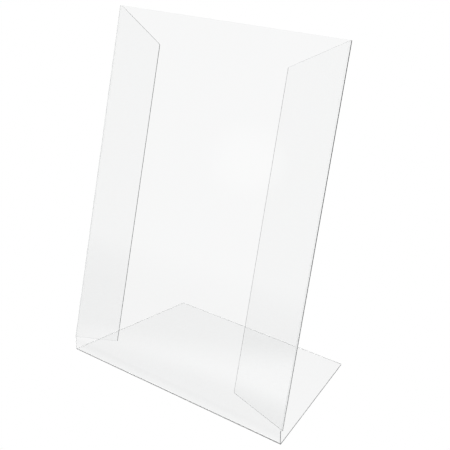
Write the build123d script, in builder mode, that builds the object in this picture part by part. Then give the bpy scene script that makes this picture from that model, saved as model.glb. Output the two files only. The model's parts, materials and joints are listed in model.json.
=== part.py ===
"""Countertop sneeze guard made of clear sheet.

A tall panel leans back over its own base plate. The panel, a low toe at its foot and the base plate are
one bent sheet, kept here as separate pieces that meet at its bend lines. A wing folds behind each side
edge of the panel on a full-length living hinge.

Frame: +X to the right seen from the front, +Y to the back, +Z up. The origin is on the counter, in the
middle of the guard's footprint.
"""

import os
from math import cos, radians, sin, sqrt, tan

from build123d import *

os.makedirs("parts", exist_ok=True)

# Driving dimensions, in millimetres and degrees.
GUARD_WIDTH = 610.0  # across the outsides of the two hinges
GUARD_HEIGHT = 812.0  # from the counter to the panel's top edge
SHEET = 3.0  # thickness of base, toe and panel
LEAN = 14.6  # panel's lean back from upright
TOE_HEIGHT = 33.0  # upright strip below the panel, from the counter to the crease
BASE_DEPTH = 339.0  # front to back
BASE_BACK_WIDTH = 490.0
BASE_BEND_INSIDE = 1.0  # inside radius of the tight bend between base and toe
LEAN_BEND_INSIDE = 20.0  # inside radius of the gentle bend between toe and panel
CORNER_RADIUS = 2.0  # free corners of base and wings

WING_SHEET = 2.0  # thickness of a wing
WING_GAP = 2.0  # between the panel's back and a folded wing
WING_WIDTH = 133.0  # from the outside of the hinge to the wing's free edge
WING_TOP_DROP = 72.0  # how far the top end slopes down to the free edge
WING_BOTTOM_RISE = 33.0  # how far the bottom end slopes up to the free edge
HINGE_WEB = 1.3  # flexible web left at the crown of the living hinge
HINGE_CLEARANCE = 0.3  # from a living hinge to the edge of the wing that it carries

# Values that follow from them.
FRONT = -BASE_DEPTH / 2
BACK = BASE_DEPTH / 2
WING_FRONT = SHEET + WING_GAP
HINGE_RADIUS = (WING_FRONT + WING_SHEET) / 2
WEB_INSIDE = HINGE_RADIUS - HINGE_WEB
SLOT_CENTRE = SHEET + WING_GAP / 2
HALF_PANEL = GUARD_WIDTH / 2 - HINGE_RADIUS
BASE_BEND_OUTSIDE = BASE_BEND_INSIDE + SHEET
LEAN_BEND_OUTSIDE = LEAN_BEND_INSIDE + SHEET
LEAN_BEND_REACH = LEAN_BEND_OUTSIDE * tan(radians(LEAN / 2))
PANEL_TOP = (GUARD_HEIGHT - TOE_HEIGHT) / cos(radians(LEAN))

# Directions up the panel and straight out of its back.
UP_PANEL = Vector(0, sin(radians(LEAN)), cos(radians(LEAN)))
OUT_OF_BACK = Vector(0, cos(radians(LEAN)), -sin(radians(LEAN)))
CREASE = Vector(0, FRONT, TOE_HEIGHT)

# The panel's front face, drawn as (across, up the panel), and a section square to the panel just above
# the crease, drawn as (across, back).
PANEL_FACE = Plane(origin=CREASE, x_dir=(1, 0, 0), z_dir=-OUT_OF_BACK)
HINGE_SECTION = Plane(origin=CREASE + UP_PANEL * LEAN_BEND_REACH, x_dir=(1, 0, 0), z_dir=UP_PANEL)


def finish(piece, name):
    """Name a finished piece and write it as its own STEP file."""
    piece.label = name
    export_step(piece, f"parts/{name}.step")


# Base plate: flat on the counter, narrower at the back.
with BuildPart() as base_plate:
    with BuildSketch() as base_outline:
        with BuildLine():
            Polyline(
                (-HALF_PANEL, FRONT + BASE_BEND_OUTSIDE),
                (HALF_PANEL, FRONT + BASE_BEND_OUTSIDE),
                (BASE_BACK_WIDTH / 2, BACK),
                (-BASE_BACK_WIDTH / 2, BACK),
                close=True,
            )
        make_face()
        fillet(base_outline.vertices().group_by(Axis.Y)[-1], CORNER_RADIUS)
    extrude(amount=SHEET)
finish(base_plate.part, "base_plate")


# Base bend: the tight quarter turn from the base plate up into the toe.
with BuildPart() as base_bend:
    with BuildSketch(Plane.YZ):
        with BuildLine():
            bend_centre = (FRONT + BASE_BEND_OUTSIDE, BASE_BEND_OUTSIDE)
            outside = CenterArc(bend_centre, BASE_BEND_OUTSIDE, 180, 90)
            inside = CenterArc(bend_centre, BASE_BEND_INSIDE, 180, 90)
            Line(outside @ 0, inside @ 0)
            Line(outside @ 1, inside @ 1)
        make_face()
    extrude(amount=HALF_PANEL, both=True)
finish(base_bend.part, "base_bend")


# Toe strip: upright, then a gentle bend back into the panel.
with BuildPart() as toe_strip:
    with BuildSketch(Plane.YZ):
        with BuildLine():
            bend_start = TOE_HEIGHT - LEAN_BEND_REACH
            bend_centre = (FRONT + LEAN_BEND_OUTSIDE, bend_start)
            front_bend = CenterArc(bend_centre, LEAN_BEND_OUTSIDE, 180, -LEAN)
            back_bend = CenterArc(bend_centre, LEAN_BEND_INSIDE, 180, -LEAN)
            Line(front_bend @ 1, back_bend @ 1)
            Polyline(
                front_bend @ 0,
                (FRONT, BASE_BEND_OUTSIDE),
                (FRONT + SHEET, BASE_BEND_OUTSIDE),
                back_bend @ 0,
            )
        make_face()
    extrude(amount=HALF_PANEL, both=True)
finish(toe_strip.part, "toe_strip")


# Front panel: the leaning shield, between the two hinges.
with BuildPart() as front_panel:
    with BuildSketch(PANEL_FACE):
        with Locations((0, (LEAN_BEND_REACH + PANEL_TOP) / 2)):
            Rectangle(2 * HALF_PANEL, PANEL_TOP - LEAN_BEND_REACH)
    extrude(amount=-SHEET)
finish(front_panel.part, "front_panel")


# Living hinge: a half round along the panel's edge. The gap between panel and wing runs on into it as a
# slot. The slot's end follows the crown, which leaves a thin web of even thickness for the fold to flex in.
def make_living_hinge(side):
    """side is +1 for the right-hand edge of the panel and -1 for the left."""
    edge = side * HALF_PANEL

    def slot_end(back):
        """The point where the slot ends against the web, this far behind the panel's front face."""
        return (edge + side * sqrt(WEB_INSIDE**2 - (back - HINGE_RADIUS) ** 2), back)

    with BuildPart() as living_hinge:
        with BuildSketch(HINGE_SECTION):
            with BuildLine():
                crown = ThreePointArc(
                    (edge, 0),
                    (edge + side * HINGE_RADIUS, HINGE_RADIUS),
                    (edge, 2 * HINGE_RADIUS),
                )
                web = ThreePointArc(slot_end(SHEET), slot_end(SLOT_CENTRE), slot_end(WING_FRONT))
                Polyline(crown @ 0, (edge, SHEET), web @ 0)
                Polyline(crown @ 1, (edge, WING_FRONT), web @ 1)
            make_face()
        extrude(amount=PANEL_TOP - LEAN_BEND_REACH)
    return living_hinge.part


finish(make_living_hinge(-1), "left_living_hinge")
finish(make_living_hinge(+1), "right_living_hinge")


# Wing: folded flat behind the panel. Its bottom end slopes at the panel's own lean, so that it runs level
# with the counter once the wing is swung out square to the panel.
def make_wing(side):
    """side is +1 for the wing on the right-hand edge of the panel and -1 for the left."""
    hinged_edge = side * (HALF_PANEL - HINGE_CLEARANCE)
    free_edge = side * (GUARD_WIDTH / 2 - WING_WIDTH)
    with BuildPart() as wing:
        with BuildSketch(PANEL_FACE.offset(-WING_FRONT)) as wing_outline:
            with BuildLine():
                Polyline(
                    (hinged_edge, LEAN_BEND_REACH),
                    (free_edge, LEAN_BEND_REACH + WING_BOTTOM_RISE),
                    (free_edge, PANEL_TOP - WING_TOP_DROP),
                    (hinged_edge, PANEL_TOP),
                    close=True,
                )
            make_face()
            fillet(wing_outline.vertices(), CORNER_RADIUS)
        extrude(amount=-WING_SHEET)
    return wing.part


finish(make_wing(-1), "left_wing")
finish(make_wing(+1), "right_wing")


# Hinge axes: each wing turns about the outside of its web, which sits at the crown of the living hinge.
hinge_axis_x = GUARD_WIDTH / 2
hinge_axis_point = CREASE + UP_PANEL * (PANEL_TOP / 2) + OUT_OF_BACK * SLOT_CENTRE
print(f"hinge axes at x = +/-{hinge_axis_x:.1f}, y = {hinge_axis_point.Y:.3f}, z = {hinge_axis_point.Z:.3f}")
print(f"hinge axis direction: y = {UP_PANEL.Y:.6f}, z = {UP_PANEL.Z:.6f}")
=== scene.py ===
"""Looks for the countertop sneeze guard: one bent clear sheet, with a clear wing folded behind each side
edge on a living hinge. Everything is in metres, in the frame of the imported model."""

import json
from math import asin, atan2, cos, pi, radians, sin, tan

import bmesh
import bpy
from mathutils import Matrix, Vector


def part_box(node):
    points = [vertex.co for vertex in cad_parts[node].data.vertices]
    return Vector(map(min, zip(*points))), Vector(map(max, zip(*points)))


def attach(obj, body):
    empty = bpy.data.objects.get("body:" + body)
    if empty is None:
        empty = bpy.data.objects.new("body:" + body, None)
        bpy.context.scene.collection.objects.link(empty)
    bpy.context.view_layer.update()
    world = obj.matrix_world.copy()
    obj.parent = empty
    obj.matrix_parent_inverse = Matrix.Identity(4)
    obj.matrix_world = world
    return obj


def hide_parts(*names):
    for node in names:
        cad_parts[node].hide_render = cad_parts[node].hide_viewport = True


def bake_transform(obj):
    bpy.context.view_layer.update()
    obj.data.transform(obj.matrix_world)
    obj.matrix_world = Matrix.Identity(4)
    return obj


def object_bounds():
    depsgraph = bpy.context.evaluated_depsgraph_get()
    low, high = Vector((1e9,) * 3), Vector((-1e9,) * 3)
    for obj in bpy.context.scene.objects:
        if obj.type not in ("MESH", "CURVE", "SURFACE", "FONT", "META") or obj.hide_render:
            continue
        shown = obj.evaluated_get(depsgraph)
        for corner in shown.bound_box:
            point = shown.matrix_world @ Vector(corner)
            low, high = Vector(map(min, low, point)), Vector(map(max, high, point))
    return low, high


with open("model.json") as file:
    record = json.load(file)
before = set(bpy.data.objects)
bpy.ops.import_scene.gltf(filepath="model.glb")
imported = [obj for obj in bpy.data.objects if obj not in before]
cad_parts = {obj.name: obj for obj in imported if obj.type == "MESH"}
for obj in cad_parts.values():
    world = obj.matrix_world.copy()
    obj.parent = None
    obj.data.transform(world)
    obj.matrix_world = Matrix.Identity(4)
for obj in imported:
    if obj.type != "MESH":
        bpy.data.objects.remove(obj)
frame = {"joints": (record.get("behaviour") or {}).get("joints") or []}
cad_low, cad_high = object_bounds()

# ---------------------------------------------------------------- sizes

# Read from the frame.
joints = {joint["name"]: joint for joint in frame["joints"]}
up_panel = Vector(joints["left_wing_fold"]["axis"])
LEAN = atan2(up_panel.y, up_panel.z)
out_of_back = Vector((0, cos(LEAN), -sin(LEAN)))
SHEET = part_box("base_plate")[1].z
HALF_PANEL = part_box("front_panel")[1].x
HINGE_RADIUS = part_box("right_living_hinge")[1].x - HALF_PANEL
FRONT = cad_low.y
BACK = cad_high.y

# Repeated from the design.
TOE_HEIGHT = 0.033
BASE_BACK_HALF = 0.245
BASE_BEND_INSIDE = 0.001
LEAN_BEND_INSIDE = 0.020
CORNER_RADIUS = 0.002
WING_GAP = 0.002
WING_SHEET = 0.002
WING_FREE_EDGE = 0.172
WING_TOP_DROP = 0.072
WING_BOTTOM_RISE = 0.033
HINGE_WEB = 0.0013

# Finer than the design: the seams beside the hinges, and eased edges.
SEAM_GAP = 0.00002
EDGE_EASE = 0.00035
EASE_STEPS = 3
CORNER_STEPS = 5

BASE_BEND_OUTSIDE = BASE_BEND_INSIDE + SHEET
LEAN_BEND_OUTSIDE = LEAN_BEND_INSIDE + SHEET
WING_FRONT = SHEET + WING_GAP
WEB_INSIDE = HINGE_RADIUS - HINGE_WEB
LEAN_BEND_REACH = LEAN_BEND_OUTSIDE * tan(LEAN / 2)
PANEL_TOP = (cad_high.z - TOE_HEIGHT) / cos(LEAN)
crease = Vector((0, FRONT, TOE_HEIGHT))


def on_panel(across, up, back=0.0):
    """The point this far across, up the panel from the crease, and back from the panel's front face."""
    return crease + Vector((across, 0, 0)) + up_panel * up + out_of_back * back


# ---------------------------------------------------------------- materials

ACRYLIC_IOR = 1.49


def new_material(name):
    """A material with an empty node tree, its output node and its Principled shader."""
    material = bpy.data.materials.new(name)
    material.use_nodes = True
    nodes = material.node_tree.nodes
    nodes.clear()
    output = nodes.new("ShaderNodeOutputMaterial")
    shader = nodes.new("ShaderNodeBsdfPrincipled")
    material.node_tree.links.new(shader.outputs["BSDF"], output.inputs["Surface"])
    return material, shader


def noise(material, scale, detail, stretch=(1, 1, 1)):
    """A noise texture on object coordinates, stretched along the given axes. Returns its Fac output."""
    nodes = material.node_tree.nodes
    links = material.node_tree.links
    place = nodes.new("ShaderNodeTexCoord")
    mapping = nodes.new("ShaderNodeMapping")
    texture = nodes.new("ShaderNodeTexNoise")
    mapping.inputs["Scale"].default_value = stretch
    texture.inputs["Scale"].default_value = scale
    texture.inputs["Detail"].default_value = detail
    links.new(place.outputs["Object"], mapping.inputs["Vector"])
    links.new(mapping.outputs["Vector"], texture.inputs["Vector"])
    return texture.outputs["Fac"]


# Where most of a noise value lies.
NOISE_MIDDLE = (0.3, 0.7)


def spread(material, value, low, high):
    """Maps the middle of a noise value onto the range from low to high."""
    remap = material.node_tree.nodes.new("ShaderNodeMapRange")
    remap.inputs["From Min"].default_value = NOISE_MIDDLE[0]
    remap.inputs["From Max"].default_value = NOISE_MIDDLE[1]
    remap.inputs["To Min"].default_value = low
    remap.inputs["To Max"].default_value = high
    material.node_tree.links.new(value, remap.inputs["Value"])
    return remap.outputs["Result"]


def tint(material, shader, value, dark, light):
    """Drives the shader's colour from dark to light by the middle of a noise value."""
    colours = material.node_tree.nodes.new("ShaderNodeValToRGB")
    for stop, position, colour in zip(colours.color_ramp.elements, NOISE_MIDDLE, (dark, light)):
        stop.position = position
        stop.color = colour
    material.node_tree.links.new(value, colours.inputs["Fac"])
    material.node_tree.links.new(colours.outputs["Color"], shader.inputs["Base Color"])


def add_bump(material, shader, height, distance):
    """Drives the shader's normal with a height value, at this distance in metres."""
    bump = material.node_tree.nodes.new("ShaderNodeBump")
    bump.inputs["Strength"].default_value = 1.0
    bump.inputs["Distance"].default_value = distance
    material.node_tree.links.new(height, bump.inputs["Height"])
    material.node_tree.links.new(bump.outputs["Normal"], shader.inputs["Normal"])


def make_face_material():
    """The polished faces: clear, with the faint waviness of cast sheet and a little handling haze."""
    material, shader = new_material("clear_sheet_face")
    shader.inputs["Base Color"].default_value = (0.998, 1, 1, 1)
    shader.inputs["Transmission Weight"].default_value = 1.0
    shader.inputs["IOR"].default_value = ACRYLIC_IOR
    haze = spread(material, noise(material, scale=9, detail=3), 0.0, 0.03)
    material.node_tree.links.new(haze, shader.inputs["Roughness"])
    add_bump(material, shader, noise(material, scale=5, detail=1), 0.0004)
    return material


def make_edge_material():
    """The cut edges: polished, with a little haze and the faint marks of the saw left in them."""
    material, shader = new_material("clear_sheet_edge")
    shader.inputs["Transmission Weight"].default_value = 0.8
    shader.inputs["IOR"].default_value = ACRYLIC_IOR
    grain = noise(material, scale=60, detail=4)
    tint(material, shader, grain, (0.84, 0.86, 0.86, 1), (0.95, 0.97, 0.97, 1))
    roughness = spread(material, noise(material, scale=140, detail=2), 0.06, 0.2)
    material.node_tree.links.new(roughness, shader.inputs["Roughness"])
    add_bump(material, shader, noise(material, scale=900, detail=2), 0.00003)
    return material


def make_bend_material():
    """The tight bend at the base: clear, with the slight milkiness that the heat of bending leaves."""
    material, shader = new_material("heated_bend")
    shader.inputs["Transmission Weight"].default_value = 0.62
    shader.inputs["IOR"].default_value = ACRYLIC_IOR
    milkiness = noise(material, scale=25, detail=3, stretch=(0.4, 1, 1))
    tint(material, shader, milkiness, (0.95, 0.96, 0.96, 1), (1, 1, 1, 1))
    material.node_tree.links.new(spread(material, milkiness, 0.16, 0.08), shader.inputs["Roughness"])
    add_bump(material, shader, milkiness, 0.00015)
    return material


def make_hinge_material():
    """The living hinge: the same plastic, drawn thin along its length, so that it has a faint grain."""
    material, shader = new_material("clear_hinge")
    shader.inputs["Base Color"].default_value = (0.985, 0.99, 0.99, 1)
    shader.inputs["Transmission Weight"].default_value = 1.0
    shader.inputs["IOR"].default_value = ACRYLIC_IOR
    streaks = noise(material, scale=40, detail=3, stretch=(6, 6, 0.5))
    material.node_tree.links.new(spread(material, streaks, 0.02, 0.14), shader.inputs["Roughness"])
    add_bump(material, shader, streaks, 0.00006)
    return material


def make_seam_material():
    """Where the living hinge is one with the sheet or the wing: no surface to see, only a trace of flow
    lines in the plastic."""
    material = bpy.data.materials.new("fused_seam")
    material.use_nodes = True
    nodes = material.node_tree.nodes
    links = material.node_tree.links
    nodes.clear()
    output = nodes.new("ShaderNodeOutputMaterial")
    clear = nodes.new("ShaderNodeBsdfTransparent")
    flow = spread(material, noise(material, scale=70, detail=2, stretch=(1, 1, 0.1)), 0.97, 1.0)
    links.new(flow, clear.inputs["Color"])
    links.new(clear.outputs["BSDF"], output.inputs["Surface"])
    return material


FACE, EDGE, SEAM, BEND = 0, 1, 2, 3
edge_material = make_edge_material()
seam_material = make_seam_material()
SHEET_MATERIALS = (make_face_material(), edge_material, seam_material, make_bend_material())
HINGE_MATERIALS = (make_hinge_material(), edge_material, seam_material)


# ---------------------------------------------------------------- mesh helpers


def finish_mesh(name, mesh, materials):
    """Turns a bmesh into an object: smooth within a face or an edge band, sharp between the two."""
    bmesh.ops.recalc_face_normals(mesh, faces=mesh.faces)
    for face in mesh.faces:
        face.smooth = True
    for edge in mesh.edges:
        kinds = {face.material_index for face in edge.link_faces}
        edge.smooth = len(kinds) == 1 or kinds == {FACE, BEND}
    data = bpy.data.meshes.new(name)
    mesh.to_mesh(data)
    mesh.free()
    for material in materials:
        data.materials.append(material)
    piece = bpy.data.objects.new(name, data)
    bpy.context.scene.collection.objects.link(piece)
    return piece


def ease_rims(mesh):
    """Rounds the rims where the sheet's faces meet its cut edges."""
    bmesh.ops.recalc_face_normals(mesh, faces=mesh.faces)
    rims = []
    for edge in mesh.edges:
        kinds = {face.material_index for face in edge.link_faces}
        if EDGE in kinds and kinds & {FACE, BEND}:
            rims.append(edge)
    bmesh.ops.bevel(
        mesh, geom=rims, offset=EDGE_EASE, offset_type="OFFSET", segments=EASE_STEPS, profile=0.5,
        affect="EDGES", clamp_overlap=True, material=EDGE,
    )


def round_corners(mesh, corner_edges):
    """Rounds the corners of a sheet's outline."""
    bmesh.ops.recalc_face_normals(mesh, faces=mesh.faces)
    bmesh.ops.bevel(
        mesh, geom=corner_edges, offset=CORNER_RADIUS, offset_type="OFFSET", segments=CORNER_STEPS,
        profile=0.5, affect="EDGES", clamp_overlap=True, material=EDGE,
    )


def bridge(mesh, near, far, material_index):
    """Closes the strip between two rows of vertices."""
    for i in range(len(near) - 1):
        face = mesh.faces.new((near[i], near[i + 1], far[i + 1], far[i]))
        face.material_index = material_index


# ---------------------------------------------------------------- the bent sheet

BASE_ROWS = 8
BASE_BEND_ROWS = 14
LEAN_BEND_ROWS = 8
PANEL_ROWS = 18
COLUMNS = 12


def sheet_stations():
    """Stations along the sheet's outer face, from the back of the base to the top of the panel. Each is
    (point on the outer face, direction through the sheet, half width)."""
    stations = []
    bend_y = FRONT + BASE_BEND_OUTSIDE
    for row in range(BASE_ROWS):
        share = row / BASE_ROWS
        point = Vector((0, BACK + (bend_y - BACK) * share, 0))
        stations.append((point, Vector((0, 0, 1)), BASE_BACK_HALF + (HALF_PANEL - BASE_BACK_HALF) * share))
    base_centre = Vector((0, bend_y, BASE_BEND_OUTSIDE))
    for row in range(BASE_BEND_ROWS + 1):
        angle = pi / 2 * row / BASE_BEND_ROWS
        inward = Vector((0, sin(angle), cos(angle)))
        stations.append((base_centre - inward * BASE_BEND_OUTSIDE, inward, HALF_PANEL))
    lean_centre = Vector((0, FRONT + LEAN_BEND_OUTSIDE, TOE_HEIGHT - LEAN_BEND_REACH))
    for row in range(LEAN_BEND_ROWS + 1):
        angle = LEAN * row / LEAN_BEND_ROWS
        inward = Vector((0, cos(angle), -sin(angle)))
        stations.append((lean_centre - inward * LEAN_BEND_OUTSIDE, inward, HALF_PANEL))
    for row in range(1, PANEL_ROWS + 1):
        up = LEAN_BEND_REACH + (PANEL_TOP - LEAN_BEND_REACH) * row / PANEL_ROWS
        stations.append((on_panel(0, up), out_of_back, HALF_PANEL))
    return stations


def make_bent_sheet():
    """Base plate, base bend, toe and panel as the one continuous sheet that they are."""
    mesh = bmesh.new()
    outer = []
    inner = []
    for point, through, half_width in sheet_stations():
        outer_row = []
        inner_row = []
        for column in range(COLUMNS + 1):
            across = Vector((half_width * (2 * column / COLUMNS - 1), 0, 0))
            outer_row.append(mesh.verts.new(point + across))
            inner_row.append(mesh.verts.new(point + across + through * SHEET))
        outer.append(outer_row)
        inner.append(inner_row)
    for row in range(len(outer) - 1):
        in_bend = BASE_ROWS <= row < BASE_ROWS + BASE_BEND_ROWS
        kind = BEND if in_bend else FACE
        bridge(mesh, outer[row], outer[row + 1], kind)
        bridge(mesh, inner[row], inner[row + 1], kind)
    for row in (0, -1):
        bridge(mesh, outer[row], inner[row], EDGE)
    hinge_foot = len(outer) - 1 - PANEL_ROWS
    for column in (0, -1):
        outer_side = [row[column] for row in outer]
        inner_side = [row[column] for row in inner]
        bridge(mesh, outer_side[:hinge_foot + 1], inner_side[:hinge_foot + 1], EDGE)
        bridge(mesh, outer_side[hinge_foot:], inner_side[hinge_foot:], SEAM)
    back_corners = [mesh.edges.get((outer[0][column], inner[0][column])) for column in (0, -1)]
    round_corners(mesh, back_corners)
    ease_rims(mesh)
    return finish_mesh("bent_sheet", mesh, SHEET_MATERIALS)


# ---------------------------------------------------------------- wings


def make_wing(name, side):
    """A wing folded flat behind the panel. side is +1 on the right and -1 on the left."""
    hinged_edge = HALF_PANEL
    outline = (
        (hinged_edge, LEAN_BEND_REACH),
        (WING_FREE_EDGE, LEAN_BEND_REACH + WING_BOTTOM_RISE),
        (WING_FREE_EDGE, PANEL_TOP - WING_TOP_DROP),
        (hinged_edge, PANEL_TOP),
    )
    mesh = bmesh.new()
    near = [mesh.verts.new(on_panel(side * x, up, WING_FRONT)) for x, up in outline]
    far = [mesh.verts.new(on_panel(side * x, up, WING_FRONT + WING_SHEET)) for x, up in outline]
    mesh.faces.new(near).material_index = FACE
    mesh.faces.new(far).material_index = FACE
    bridge(mesh, near, far, EDGE)
    bridge(mesh, (near[-1], near[0]), (far[-1], far[0]), SEAM)
    round_corners(mesh, [mesh.edges.get(pair) for pair in zip(near[1:3], far[1:3])])
    ease_rims(mesh)
    return finish_mesh(name, mesh, SHEET_MATERIALS)


# ---------------------------------------------------------------- living hinges

CROWN_STEPS = 24
SLOT_STEPS = 10
HINGE_LENGTHS = 24


def hinge_outline(side):
    """The living hinge's section, as (across, back) points, from the panel's front face round the crown to
    the wing's back face, and back by way of the slot, whose end leaves a thin web of even thickness."""
    edge = HALF_PANEL + SEAM_GAP
    points = []
    for step in range(CROWN_STEPS + 1):
        angle = pi * step / CROWN_STEPS - pi / 2
        points.append((HALF_PANEL + HINGE_RADIUS * cos(angle), HINGE_RADIUS + HINGE_RADIUS * sin(angle)))
    points.append((edge, WING_FRONT))
    back_wall = asin((WING_FRONT - HINGE_RADIUS) / WEB_INSIDE)
    front_wall = asin((SHEET - HINGE_RADIUS) / WEB_INSIDE)
    for step in range(SLOT_STEPS + 1):
        angle = back_wall + (front_wall - back_wall) * step / SLOT_STEPS
        points.append((HALF_PANEL + WEB_INSIDE * cos(angle), HINGE_RADIUS + WEB_INSIDE * sin(angle)))
    points.append((edge, SHEET))
    return [(side * x, back) for x, back in points]


def make_living_hinge(name, side):
    """The fold along one side edge of the panel. side is +1 on the right and -1 on the left."""
    mesh = bmesh.new()
    rings = []
    for length in range(HINGE_LENGTHS + 1):
        up = LEAN_BEND_REACH + (PANEL_TOP - LEAN_BEND_REACH) * length / HINGE_LENGTHS
        rings.append([mesh.verts.new(on_panel(x, up, back)) for x, back in hinge_outline(side)])
    crown_end = CROWN_STEPS
    for near, far in zip(rings, rings[1:]):
        bridge(mesh, near[:crown_end + 1], far[:crown_end + 1], FACE)
        bridge(mesh, near[crown_end:crown_end + 2], far[crown_end:crown_end + 2], SEAM)
        bridge(mesh, near[crown_end + 1:], far[crown_end + 1:], FACE)
        bridge(mesh, (near[-1], near[0]), (far[-1], far[0]), SEAM)
    for ring in (rings[0], rings[-1]):
        mesh.faces.new(ring).material_index = EDGE
    ease_rims(mesh)
    return finish_mesh(name, mesh, HINGE_MATERIALS)


bent_sheet = make_bent_sheet()
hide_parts("base_plate", "base_bend", "toe_strip", "front_panel")
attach(bent_sheet, "stand")

for label, side in (("left", -1), ("right", 1)):
    wing = make_wing(f"{label}_wing_sheet", side)
    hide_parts(f"{label}_wing")
    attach(wing, f"{label}_wing_body")

    hinge = make_living_hinge(f"{label}_hinge_fold", side)
    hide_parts(f"{label}_living_hinge")
    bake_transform(hinge)


# ---------------------------------------------------------------- floor, light and camera

FLOOR_HALF = 30.0
FLOOR_DROP = 0.0005

# How bright the studio looks, by the number of reflections that its light has made and from where it comes.
SEEN_DIRECTLY = 1.0
SEEN_THROUGH = 0.96
MIRRORED_ROOM = 0.67
MIRRORED_FAR_LEFT = 0.9
MIRRORED_FLOOR_LEFT = 0.42
MIRRORED_FLOOR_RIGHT = 1.0
MIRRORED_FLOOR_NEAR = 0.45
MIRRORED_FLOOR_UNDER = 1.0
MIRRORED_FLOOR_BACK = 0.0
DEEP_LEFT = 0.7
DEEP_RIGHT = 0.4

# Where it changes: a span says how far a point or a direction reaches that way, where the change starts and
# where it ends.
RIGHTWARD = (1, 0, 0)
FORWARD = (0, -1, 0)
TO_THE_BACK_RIGHT = (0.6, 0.8, 0)
PAST_THE_RIGHT_SIDE = (0.986, 0.164, 0)
DEEP_SPAN = (-0.4, 0.4)
FAR_LEFT_SPAN = (-0.95, -0.8)
FLOOR_ACROSS_SPAN = (-0.7, -0.2)
FLOOR_UNDER_SPAN = (0.165, 0.2)
FLOOR_BACK_SPAN = (0.2, 0.36)
FLOOR_SIDE_SPAN = (0.26, 0.32)

# The same on the floor, by distance from the guard's middle.
NEAR_SPAN = (0.4, 0.8)
ROOM_SPAN = (1.5, 7.0)
LEFT_END_SPAN = (0.3, 0.6)

SOFTBOX_GLOW = 0.25
SOFTBOX_SPREAD = radians(3)
SOFTBOX_DIRECTION = (-0.557, -0.827, 0.075)


def value_mix(nodes, links, factor, first, second):
    """Mixes two values, each a number or an output."""
    mix = nodes.new("ShaderNodeMix")
    links.new(factor, mix.inputs["Factor"])
    for socket, value in (("A", first), ("B", second)):
        if isinstance(value, float):
            mix.inputs[socket].default_value = value
        else:
            links.new(value, mix.inputs[socket])
    return mix.outputs["Result"]


def at_least(nodes, links, value, threshold):
    """1 where a value has reached a threshold, otherwise 0."""
    test = nodes.new("ShaderNodeMath")
    test.operation = "GREATER_THAN"
    test.inputs[1].default_value = threshold - 0.5
    links.new(value, test.inputs[0])
    return test.outputs["Value"]


def ramp(nodes, links, value, span, low, high):
    """Goes smoothly from low to high as a value crosses a span. low and high are numbers or outputs."""
    start, end = span
    ease = nodes.new("ShaderNodeMapRange")
    ease.interpolation_type = "SMOOTHSTEP"
    ease.inputs["From Min"].default_value = start
    ease.inputs["From Max"].default_value = end
    links.new(value, ease.inputs["Value"])
    return value_mix(nodes, links, ease.outputs["Result"], low, high)


def along(nodes, links, vector, direction):
    """How far a vector reaches in a fixed direction."""
    reach = nodes.new("ShaderNodeVectorMath")
    reach.operation = "DOT_PRODUCT"
    reach.inputs[1].default_value = direction
    links.new(vector, reach.inputs[0])
    return reach.outputs["Value"]


def studio_strength(nodes, links, mirrored, rightward):
    """How bright the studio looks: white to the eye, a shade dimmer through the sheet, dimmer again in one
    reflection, and by side alone in the many reflections that a cut edge gathers."""
    path = nodes.new("ShaderNodeLightPath")
    reflections = path.outputs["Glossy Depth"]
    deep = ramp(nodes, links, rightward, DEEP_SPAN, DEEP_LEFT, DEEP_RIGHT)
    through = value_mix(nodes, links, path.outputs["Is Camera Ray"], SEEN_THROUGH, SEEN_DIRECTLY)
    once = value_mix(nodes, links, at_least(nodes, links, reflections, 1), through, mirrored)
    return value_mix(nodes, links, at_least(nodes, links, reflections, 2), once, deep)


def far_left(nodes, links, rightward, elsewhere):
    """The bright left-hand end of the studio, as it looks in one reflection."""
    return ramp(nodes, links, rightward, FAR_LEFT_SPAN, MIRRORED_FAR_LEFT, elsewhere)


def floor_strength(nodes, links):
    """How bright each point of the floor looks: evenly lit to the eye, but with painted reflections in the
    sheets:
    mirrored bright under the base, dimmer in front of it and on the left, and painted shade behind the
    guard and along its right-hand side."""
    position = nodes.new("ShaderNodeNewGeometry").outputs["Position"]
    length = nodes.new("ShaderNodeVectorMath")
    length.operation = "LENGTH"
    links.new(position, length.inputs[0])
    distance = length.outputs["Value"]
    towards = nodes.new("ShaderNodeVectorMath")
    towards.operation = "NORMALIZE"
    links.new(position, towards.inputs[0])
    rightward = along(nodes, links, towards.outputs["Vector"], RIGHTWARD)

    # Painted reflections, from the floor under the base outwards.
    forward = along(nodes, links, position, FORWARD)
    near = ramp(nodes, links, forward, FLOOR_UNDER_SPAN, MIRRORED_FLOOR_UNDER, MIRRORED_FLOOR_NEAR)
    across = along(nodes, links, position, RIGHTWARD)
    farther = ramp(nodes, links, across, FLOOR_ACROSS_SPAN, MIRRORED_FLOOR_LEFT, MIRRORED_FLOOR_RIGHT)
    beside = ramp(nodes, links, distance, NEAR_SPAN, near, farther)
    in_front = ramp(nodes, links, distance, ROOM_SPAN, beside, MIRRORED_ROOM)

    # Painted shade in the reflections: the floor as mirrored goes dark behind the guard and along its
    # right-hand side.
    backward = along(nodes, links, position, TO_THE_BACK_RIGHT)
    behind = ramp(nodes, links, backward, FLOOR_BACK_SPAN, in_front, MIRRORED_FLOOR_BACK)
    sideways = along(nodes, links, position, PAST_THE_RIGHT_SIDE)
    around = ramp(nodes, links, sideways, FLOOR_SIDE_SPAN, behind, MIRRORED_FLOOR_BACK)

    left_end = far_left(nodes, links, rightward, around)
    mirrored = ramp(nodes, links, distance, LEFT_END_SPAN, around, left_end)
    return studio_strength(nodes, links, mirrored, rightward)


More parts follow.
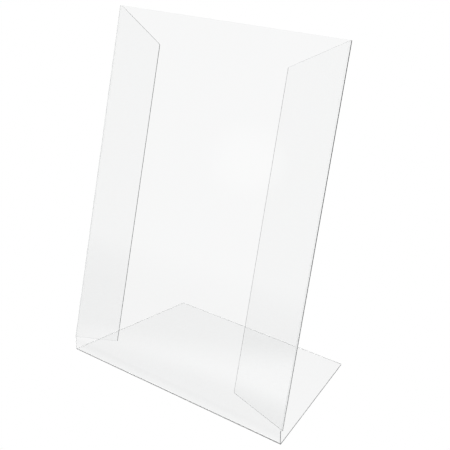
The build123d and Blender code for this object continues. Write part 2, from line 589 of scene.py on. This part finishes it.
def make_floor():
    """A pale floor that glows evenly to the eye, like a lit table, and carries painted reflections of light
    and shade where the sheets mirror it.
    """
    mesh = bmesh.new()
    bmesh.ops.create_grid(mesh, x_segments=2, y_segments=2, size=FLOOR_HALF)
    data = bpy.data.meshes.new("studio_floor")
    mesh.to_mesh(data)
    mesh.free()
    floor = bpy.data.objects.new("studio_floor", data)
    floor.location.z = -FLOOR_DROP
    bpy.context.scene.collection.objects.link(floor)
    material = bpy.data.materials.new("studio_floor")
    material.use_nodes = True
    nodes = material.node_tree.nodes
    links = material.node_tree.links
    nodes.clear()
    output = nodes.new("ShaderNodeOutputMaterial")
    glow = nodes.new("ShaderNodeEmission")
    links.new(floor_strength(nodes, links), glow.inputs["Strength"])
    links.new(glow.outputs["Emission"], output.inputs["Surface"])
    data.materials.append(material)


def make_world():
    """The room round the floor, with a soft light low in front on the left."""
    world = bpy.data.worlds.new("studio")
    bpy.context.scene.world = world
    world.use_nodes = True
    nodes = world.node_tree.nodes
    links = world.node_tree.links
    nodes.clear()
    output = nodes.new("ShaderNodeOutputWorld")
    background = nodes.new("ShaderNodeBackground")
    background.inputs["Color"].default_value = (1, 1, 1, 1)
    direction = nodes.new("ShaderNodeTexCoord").outputs["Generated"]
    rightward = along(nodes, links, direction, RIGHTWARD)
    facing = along(nodes, links, direction, SOFTBOX_DIRECTION)
    softbox = ramp(nodes, links, facing, (cos(SOFTBOX_SPREAD), 1.0), 0.0, SOFTBOX_GLOW)
    mirrored = nodes.new("ShaderNodeMath")
    mirrored.operation = "ADD"
    links.new(far_left(nodes, links, rightward, MIRRORED_ROOM), mirrored.inputs[0])
    links.new(softbox, mirrored.inputs[1])
    strength = studio_strength(nodes, links, mirrored.outputs["Value"], rightward)
    links.new(strength, background.inputs["Strength"])
    links.new(background.outputs["Background"], output.inputs["Surface"])


CAMERA_AZIMUTH = radians(37.8)
CAMERA_ELEVATION = radians(21.05)
CAMERA_DISTANCE = 2.026
CAMERA_AIM = Vector((0.0045, 0.0284, 0.4571))
CAMERA_LENS = 72.6
CAMERA_SENSOR = 36
CAMERA_SHIFT = -0.1


def make_camera():
    """The camera, to the right of the guard's middle and looking slightly down on it."""
    data = bpy.data.cameras.new("camera")
    data.lens = CAMERA_LENS
    data.sensor_width = CAMERA_SENSOR
    data.shift_y = CAMERA_SHIFT
    camera = bpy.data.objects.new("camera", data)
    back = Vector((
        sin(CAMERA_AZIMUTH) * cos(CAMERA_ELEVATION),
        -cos(CAMERA_AZIMUTH) * cos(CAMERA_ELEVATION),
        sin(CAMERA_ELEVATION),
    ))
    camera.location = CAMERA_AIM + back * CAMERA_DISTANCE
    camera.rotation_mode = "QUATERNION"
    camera.rotation_quaternion = (-back).to_track_quat("-Z", "Y")
    bpy.context.scene.collection.objects.link(camera)
    bpy.context.scene.camera = camera


# Light crosses many surfaces on its way through the sheets and hinges.
MOST_BOUNCES = 24
MOST_REFLECTIONS = 12

make_floor()
make_world()
make_camera()
scene = bpy.context.scene
scene.view_settings.view_transform = "Standard"
scene.cycles.max_bounces = MOST_BOUNCES
scene.cycles.transmission_bounces = MOST_BOUNCES
scene.cycles.glossy_bounces = MOST_REFLECTIONS
